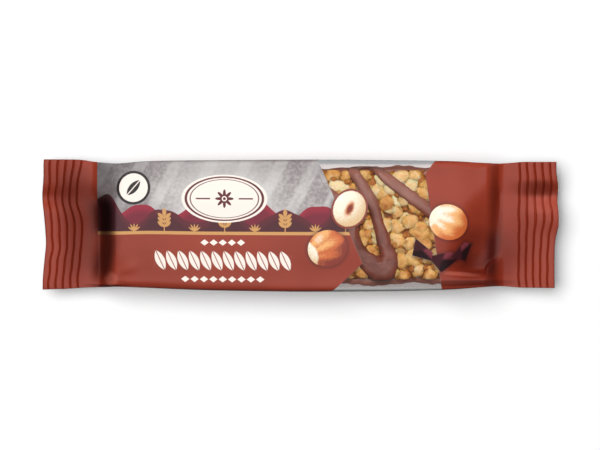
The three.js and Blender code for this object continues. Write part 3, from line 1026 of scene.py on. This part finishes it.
def scatterTree():
    tree = bpy.data.node_groups.new("scatterPieces", "GeometryNodeTree")
    inputs = (("Surface", "Geometry"), ("Shapes", "Collection"), ("Spacing", "Float"), ("Smallest", "Float"),
              ("Largest", "Float"), ("Sink", "Float"), ("Seed", "Int"), ("Finish", "Material"))
    for label, kind in inputs:
        tree.interface.new_socket(label, in_out="INPUT", socket_type="NodeSocket" + kind)
    tree.interface.new_socket("Pieces", in_out="OUTPUT", socket_type="NodeSocketGeometry")
    maker = NodeMaker(tree)
    given = {label: maker.add("NodeGroupInput", output=i) for i, (label, _) in enumerate(inputs)}
    spots = maker.add("GeometryNodeDistributePointsOnFaces", {"distribute_method": "POISSON"}, {
        0: given["Surface"], "Distance Min": given["Spacing"], "Density Max": bar["density"],
        "Seed": given["Seed"]})
    normal, upright = spots.beside("Normal"), spots.beside("Rotation")

    drop = maker.add("ShaderNodeVectorMath", {"operation": "SCALE"}, {0: normal, 3: -given["Sink"]})
    points = maker.add("GeometryNodeSetPosition", {}, {"Geometry": spots, "Offset": drop})
    spin = maker.add("FunctionNodeRandomValue", {"data_type": "FLOAT_VECTOR"}, {
        0: (-bar["tilt"], -bar["tilt"], -math.pi), 1: (bar["tilt"], bar["tilt"], math.pi),
        "Seed": given["Seed"]})
    spin = maker.add("FunctionNodeEulerToRotation", {}, (spin,))
    turn = maker.add("FunctionNodeRotateRotation", {"rotation_space": "LOCAL"}, (upright, spin))
    size = maker.add("FunctionNodeRandomValue", {"data_type": "FLOAT"}, {
        2: given["Smallest"] * 0.5, 3: given["Largest"] * 0.5, "Seed": given["Seed"] + 1}, output=1)
    shapes = maker.add("GeometryNodeCollectionInfo", {}, {
        "Collection": given["Shapes"], "Separate Children": True, "Reset Children": True})
    pieces = maker.add("GeometryNodeInstanceOnPoints", {}, {
        "Points": points, "Instance": shapes, "Pick Instance": True, "Rotation": turn, "Scale": size})
    tone = maker.add("FunctionNodeRandomValue", {"data_type": "FLOAT"}, {
        2: 0.0, 3: 1.0, "Seed": given["Seed"] + 2}, output=1)
    pieces = maker.add("GeometryNodeStoreNamedAttribute", {"data_type": "FLOAT", "domain": "INSTANCE"}, {
        "Geometry": pieces, "Name": "tone", "Value": tone})
    solid = maker.add("GeometryNodeRealizeInstances", {}, (pieces,))
    solid = maker.add("GeometryNodeSetMaterial", {}, {"Geometry": solid, "Material": given["Finish"]})
    maker.add("NodeGroupOutput", {}, (solid,))
    return tree


def pressedDown(heights, ceiling, soft=0.5):
    # heights near and above a ceiling are squeezed to just below it
    over = (heights - ceiling + soft) / soft
    return np.where(over > 0, ceiling - soft + soft * (1 - np.exp(-np.maximum(over, 0))), heights)


def underFilm(x, y, ceiling):
    # the ceiling for what's inside, lower where the film sags or turns down
    past = np.clip(abs(y) - (reachAt(x, y) - film["cornerRadius"]), 0, film["cornerRadius"])
    arc = bodyHeight - film["cornerRadius"] + np.sqrt(film["cornerRadius"] ** 2 - past ** 2)
    atSlope = (bodyHeight - film["sealLevel"]) * comeDownAt(x, y)
    return np.minimum(ceiling, arc - bar["clearance"]) - sagAt(x, y) - atSlope


def upperPart(mesh, lowest):
    # a copy without the faces that look down or lie in the chocolate base
    bm = bmesh.new()
    bm.from_mesh(mesh)
    hidden = [face for face in bm.faces
              if face.normal.z < bar["facingDown"] or face.calc_center_median().z < lowest * mm]
    bmesh.ops.delete(bm, geom=hidden, context="FACES")
    return meshFrom(bm, "upperPart")


def pressedIn(places, middle, reach):
    # places squeezed towards a middle, to within reach on both sides
    off = places - middle
    return middle + np.sign(off) * pressedDown(abs(off), reach)


def scatterPieces(tree, kind, spec):
    shapes = bpy.data.collections.new(kind + "Shapes")
    for i in range(spec["shapes"]):
        mesh = pieceShape(kind, i)
        shapes.objects.link(bpy.data.objects.new(mesh.name, mesh))
    holder = place(kind + "Holder", upperPart(granolaCore.data, bar["lowestPiece"]))
    modifier = holder.modifiers.new("scatter", "NODES")
    modifier.node_group = tree
    smallest, largest = spec["size"]
    values = {"Shapes": shapes, "Seed": spec["seed"], "Finish": granolaMaterial(spec["finish"]),
              "Spacing": spec["spacing"] * mm, "Sink": spec["sink"] * mm,
              "Smallest": smallest * mm, "Largest": largest * mm}
    for item in tree.interface.items_tree:
        if item.in_out == "INPUT" and item.name in values:
            modifier[item.identifier] = values[item.name]
    seen = holder.evaluated_get(bpy.context.evaluated_depsgraph_get())
    mesh = bpy.data.meshes.new_from_object(seen)
    mesh.name = kind
    for thing in (holder, *shapes.objects):
        bpy.data.objects.remove(thing)
    bpy.data.collections.remove(shapes)
    spots = np.empty(len(mesh.vertices) * 3)
    mesh.vertices.foreach_get("co", spots)
    x, y, z = spots.reshape(-1, 3).T / mm
    x = pressedIn(x, bar["middle"], bar["length"] / 2 + bar["endRoom"])
    y = pressedIn(y, bar["across"], bar["sides"])
    z = pressedDown(z, underFilm(x, y, bar["ceiling"]), bar["ceilingSoft"])
    mesh.vertices.foreach_set("co", (np.stack([x, y, z], axis=1) * mm).ravel())
    mesh.shade_smooth()
    print(kind, len(mesh.polygons), "faces")
    return place(kind, mesh)


granolaLook = {
    # what makes a place browner, and how much: gap is painted shade low down between the pieces,
    # far is painted light that lightens the far side
    "tone": 0.34, "patch": 0.8, "gap": 0.34, "far": -0.17, "everywhere": -0.06,
    "gapLevels": (13.9, 11.8), "farPlaces": (3, 13),  # millimetres up and across
    "bump": 0.6, "subsurface": 0.7, "coat": 0.2, "coatRoughness": 0.25,
}


def granolaFinish(maker, pale, mid, deep, patchSize, gloss):
    # pale with golden patches, browner where tone is high; browner down in the gaps, painted shade,
    # and away from the far side, painted light that lightens the far side
    where = objectPoint(maker)
    tone = maker.add("ShaderNodeAttribute", {"attribute_name": "tone"}, output=2)
    patch = where.noise(1 / (patchSize * mm), 3, 0.6)
    # painted shade: browner low down between the pieces
    gap = where.axis(2).ramp(*[level * mm for level in granolaLook["gapLevels"]])
    # painted light: lighter towards the far side
    far = where.axis(1).ramp(*[at * mm for at in granolaLook["farPlaces"]])
    value = tone * granolaLook["tone"] + patch * granolaLook["patch"] + gap * granolaLook["gap"]
    value = value + far * granolaLook["far"] + granolaLook["everywhere"]
    tint = maker.add("ShaderNodeValToRGB", {"stops": ((0.2, pale), (0.5, mid), (0.8, deep))}, (value,))
    grain = where.noise(5 / (patchSize * mm), 3, 0.6)
    return maker.shader({
        "Base Color": tint, "Roughness": patch.ramp(0.3, 0.7, gloss, gloss + 0.2),
        "Normal": maker.bump(grain + patch, granolaLook["bump"], 0.0006),
        "Subsurface Weight": granolaLook["subsurface"], "Subsurface Radius": (1, 0.55, 0.25),
        "Subsurface Scale": 0.0022,
        "Coat Weight": granolaLook["coat"], "Coat Roughness": granolaLook["coatRoughness"]})


def granolaMaterial(finish):
    colours = [linear(*finish[shade]) for shade in ("pale", "mid", "deep")]
    return makeMaterial(finish["name"], granolaFinish, *colours, finish["patch"], finish["gloss"])


granolaCore.data.materials.append(granolaMaterial(bar["finish"]))
scatter = scatterTree()
granolaPieces = [scatterPieces(scatter, kind, spec) for kind, spec in granola.items()]


# Chocolate is a base with a wavy skirt, and a zigzag drizzled over the top.
chocolate = {
    "baseFoot": 0.6, "endRise": 3.4, "baseTop": 11.0, "waveSize": 6.5, "radius": 1.5,
    "longer": 3, "endRadius": 4,  # the base is this much longer than the granola, with round ends
    # the base's edges, to the -y side and to the +y side
    "edges": ({"at": 18.2, "wave": 0.9, "seed": 5, "side": -1},
              {"at": 17.9, "wave": 0.6, "seed": 9, "side": 1}),
    "drizzleHeight": 1.3, "drizzleDepth": 1.6, "dripFoot": 8, "step": 0.45, "spread": 1.1, "sides": 18.3,
    "uneven": ((0.12, 4, 2), (0.1, 1.4, 6)),  # its width varies by a share, over a length, with a seed
    "tip": 0.25, "taper": 2.5, "endRoom": 1.5,  # it narrows to this share over this length
    "period": 24, "lastTurn": 18.6, "repeats": 4,
    # one period of the drizzle, from one turn at the +y edge to the next: along, across,
    # width. The last sweep begins in the same way and goes on past the last turn.
    "firstStretch": ((0.8, 18.9, 2.3), (3.9, 18.0, 2.4), (6.2, 15.7, 3.0), (9.4, 13.2, 3.7),
                     (16.2, 8.0, 3.8)),
    "turnBack": ((20.8, 3.6, 4.0), (21.4, -0.6, 4.0), (21.9, -4.6, 4.2), (24.4, -9.8, 5.2),
                 (30.3, -13.8, 7.4), (32.5, -10.2, 5.7), (31.0, -5.4, 4.5), (30.1, -1.9, 3.8),
                 (29.2, 0.6, 3.5), (28.3, 4.3, 3.5), (27.2, 7.4, 3.6), (25.3, 10.5, 3.5),
                 (23.5, 13.6, 3.4), (21.6, 16.9, 3.0)),
    "lastStretch": ((21.8, 3.8, 4.0), (25.6, -1, 4.2), (28.5, -7, 4.2)),
    # light and dark tints, and how much painted sheen lightens the chocolate towards the far side
    # painted light: the base is a much lighter copy of the drizzle's chocolate, standing in for light that
    # barely reaches it in the pack
    "baseFinish": {"dark": (150, 88, 72), "light": (176, 112, 94), "bloom": 0.2},
    "drizzleFinish": {"dark": (92, 40, 26), "light": (126, 64, 48), "bloom": 0.5},
    "farSheenTint": (164, 112, 98), "farSheenPlaces": (3, 13), "cloudScale": 130,
}


def makeBase():
    x, share = barRows(bar["length"] + chocolate["longer"], chocolate["endRadius"], inner=150)

    def reach(edge):
        marks = [(along, 0, 0) for along in x[:, 0]]
        wave = softNoise(marks, chocolate["waveSize"], edge["seed"])
        fine = softNoise(marks, chocolate["waveSize"] / 3, edge["seed"] + 5)
        wanted = (edge["at"] + edge["wave"] * (wave * 1.6 + fine * 0.6))[:, None]
        wanted = wanted - chocolate["endRadius"] * (1 - share)
        return np.minimum(wanted, reachAt(x, edge["side"]) - bar["clearance"])

    foot = chocolate["baseFoot"] + chocolate["endRise"] * (1 - share)
    middle = (chocolate["baseTop"] + foot) / 2
    half = (chocolate["baseTop"] - foot) / 2
    radius = chocolate["radius"] + 0 * x
    (nearY, z, _), (farY, _, _) = [
        ringRound(reach(edge), radius, middle + half, middle - half, middle, 0 * x, half - radius,
                  (12, 5, 3), (8, 5, 3)) for edge in chocolate["edges"]]
    return gridObject("chocolateBase", withX(x, np.where(nearY < 0, nearY, farY), z), capped=True)


def chocolateFinish(maker, dark, light, bloom):
    where = objectPoint(maker)
    cloud = where.noise(chocolate["cloudScale"], 3, 0.55)
    # painted sheen: the chocolate turns lighter and greyer towards the far side
    far = (where.axis(1) + cloud * 0.004).ramp(*[at * mm for at in chocolate["farSheenPlaces"]])
    tint = (far * bloom).colour(cloud.ramp(0.3, 0.7).colour(dark, light), linear(*chocolate["farSheenTint"]))
    return maker.shader({
        "Base Color": tint, "Roughness": cloud.ramp(0.3, 0.7, 0.44, 0.26),
        "Normal": maker.bump(where.noise(900) * 0.15 + cloud, 0.5, 0.0008), "Specular IOR Level": 0.6})


def chocolateMaterial(name, finish):
    tints = [linear(*finish[shade]) for shade in ("dark", "light")]
    return makeMaterial(name, chocolateFinish, *tints, finish["bloom"])


def drizzlePath():
    starts = [chocolate["lastTurn"] - k * chocolate["period"] for k in range(chocolate["repeats"], -1, -1)]
    points = []
    for start in starts:
        rest = chocolate["lastStretch" if start == starts[-1] else "turnBack"]
        points += [(start + x, y, width) for x, y, width in chocolate["firstStretch"] + rest]
    path = smoothPath(points, chocolate["step"])
    inside = np.nonzero(abs(path[:, 0] - bar["middle"]) < bar["length"] / 2 - chocolate["endRoom"])[0]
    return path[inside[0]:inside[-1]]


def heightsUnder(spots, things):
    # how high the given things reach at each spot
    depsgraph = bpy.context.evaluated_depsgraph_get()
    trees = [BVHTree.FromObject(thing, depsgraph) for thing in things]
    found = []
    for x, y in spots:
        hits = [tree.ray_cast(Vector((x, y, 20)) * mm, Vector((0, 0, -1)))[0] for tree in trees]
        found.append(max([hit.z / mm for hit in hits if hit] + [chocolate["dripFoot"]]))
    return np.array(found)


def blurred(rows, radius):
    # a moving average down the rows
    kernel = np.hanning(2 * radius + 3)[1:-1]
    kernel /= kernel.sum()
    padded = np.pad(rows, ((radius, radius), (0, 0)), mode="edge")
    return np.stack([np.convolve(padded[:, j], kernel, mode="valid") for j in range(rows.shape[1])], axis=1)


def crest(rows, radius):
    # the highest of the neighbours down the rows
    padded = np.pad(rows, ((radius, radius), (0, 0)), mode="edge")
    return np.max([padded[i:i + len(rows)] for i in range(2 * radius + 1)], axis=0)


def makeDrizzle(things, across=11):
    path = drizzlePath()
    width = path[:, 2] * chocolate["spread"]
    path = path[:, :2]
    tangent = np.gradient(path, axis=0)
    tangent /= np.linalg.norm(tangent, axis=1)[:, None]
    side = np.stack([-tangent[:, 1], tangent[:, 0]], axis=1)
    marks = [(i * chocolate["step"], 0, 0) for i in range(len(path))]
    width = width * (1 + sum(part * softNoise(marks, *wave) for part, *wave in chocolate["uneven"]))
    toEnd = np.minimum(np.arange(len(path)), np.arange(len(path))[::-1]) * chocolate["step"]
    width = width * blend(chocolate["tip"], 1, smooth(toEnd, 0, chocolate["taper"]))
    share = np.linspace(-1, 1, across)
    spots = path[:, None] + side[:, None] * (share * width[:, None] / 2)[:, :, None]
    aside = spots[:, :, 1] - bar["across"]
    spots[:, :, 1] = bar["across"] + np.sign(aside) * pressedDown(abs(aside), chocolate["sides"], 1.5)
    # it lies on the pieces' crests and bridges the gaps; the radii are in rows
    bare = heightsUnder(spots.reshape(-1, 2), things).reshape(len(path), across)
    ground = blurred(crest(bare, 3), 4)
    ground = blurred(ground.T, 2).T * 0.5 + blurred(ground, 8) * 0.5
    ground = blurred(np.maximum(ground, crest(bare, 1)), 2)
    bead = np.sqrt(np.clip(1 - share ** 2, 0, 1))
    top = ground + chocolate["drizzleHeight"] * (bead - 0.4)
    top = pressedDown(top, underFilm(spots[:, :, 0], spots[:, :, 1], bar["ceiling"] + 0.5))
    under = top[:, 1:-1][:, ::-1] - chocolate["drizzleDepth"]
    upper = np.concatenate([spots, top[:, :, None]], axis=2)
    lower = np.concatenate([spots[:, 1:-1][:, ::-1], under[:, :, None]], axis=2)
    ring = np.concatenate([upper, lower], axis=1)[:, ::-1]
    return gridObject("chocolateDrizzle", ring, capped=True)


chocolateBase = makeBase()
chocolateDrizzle = makeDrizzle([granolaCore, chocolateBase, *granolaPieces])
chocolateBase.data.materials.append(chocolateMaterial("baseChocolate", chocolate["baseFinish"]))
chocolateDrizzle.data.materials.append(chocolateMaterial("drizzledChocolate", chocolate["drizzleFinish"]))
print("bar made")

pieces = [filmPack, finStrip, granolaCore, *granolaPieces, chocolateBase, chocolateDrizzle]
for thing in pieces:
    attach(thing, "root")
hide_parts("wrapped_bar")


studio = {
    "floorSize": 3, "floorWhite": (0.9, 0.9, 0.9, 1), "floorGlow": 0.13,
    "floorDim": (0.3, 0.3, 0.3, 1),  # it throws little light back at the pack
    # soft square panels aimed at the pack: place in metres, size, power
    "floorPanel": ((-0.34, 0.2, 1.12), 1.08, 17.4),
    "keyPanel": ((0.08, 0.62, 0.95), 0.75, 12.6),
    "overheadPanel": ((-0.1, 0.1, 1.5), 1.2, 7.5),
    "worldLight": 0.12, "worldSeen": 0.92,
}
view = {
    "pixelsPerMm": 3.231, "imageWidth": 600, "imageHeight": 450,
    "centre": (300.75, 225),  # the pixel that the pack's origin falls on
    "focusHeight": 7.5,  # the level that the scale holds at, mm
    "distance": 1.3, "sensor": 36,
}


def floorFinish(maker):
    pale = maker.shader({"Base Color": studio["floorWhite"], "Roughness": 0.9,
                         "Emission Color": (1, 1, 1, 1), "Emission Strength": studio["floorGlow"]})
    dim = maker.shader({"Base Color": studio["floorDim"], "Roughness": 0.9})
    seen = maker.add("ShaderNodeLightPath", output=0)
    return maker.mixShader(seen, dim, pale)


def makeFloor():
    bm = bmesh.new()
    bmesh.ops.create_grid(bm, x_segments=8, y_segments=8, size=studio["floorSize"])
    floor = place("floor", meshFrom(bm, "floor"))
    floor.data.materials.append(makeMaterial("paleFloor", floorFinish))
    return floor


def addPanel(name, litThings, glossy=True):
    # it lights only the things in one collection
    spot, size, power = studio[name]
    light = bpy.data.lights.new(name, "AREA")
    light.shape = "SQUARE"
    light.size = size
    light.energy = power
    lamp = place(name, light)
    lamp.location = spot
    lamp.rotation_euler = (-Vector(spot)).to_track_quat("-Z", "Y").to_euler()
    lamp.light_linking.receiver_collection = litThings
    lamp.visible_glossy = glossy


def collectionOf(name, things):
    collection = bpy.data.collections.new(name)
    for thing in things:
        collection.objects.link(thing)
    return collection


def makeLight(floor):
    packOnly = collectionOf("packOnly", pieces)
    addPanel("floorPanel", collectionOf("floorOnly", [floor]))
    addPanel("keyPanel", packOnly, glossy=False)
    addPanel("overheadPanel", packOnly)
    world = bpy.data.worlds.new("studio")
    world.use_nodes = True
    maker = NodeMaker(world.node_tree)
    maker.tree.nodes.clear()
    seen = maker.add("ShaderNodeLightPath", output=0)
    strength = seen * (studio["worldSeen"] - studio["worldLight"]) + studio["worldLight"]
    background = maker.add("ShaderNodeBackground", {}, {"Color": (1, 1, 1, 1), "Strength": strength})
    maker.add("ShaderNodeOutputWorld", {}, {"Surface": background})
    bpy.context.scene.world = world


def makeCamera():
    camera = bpy.data.cameras.new("camera")
    camera.sensor_width = view["sensor"]
    camera.lens = view["sensor"] * (view["distance"] / mm) * view["pixelsPerMm"] / view["imageWidth"]
    right = (view["imageWidth"] / 2 - view["centre"][0]) / view["pixelsPerMm"]
    up = (view["centre"][1] - view["imageHeight"] / 2) / view["pixelsPerMm"]
    holder = place("camera", camera)
    holder.location = (right * mm, up * mm, view["focusHeight"] * mm + view["distance"])
    bpy.context.scene.camera = holder


makeLight(makeFloor())
makeCamera()
bpy.context.scene.view_settings.view_transform = "Standard"
print("stage set")
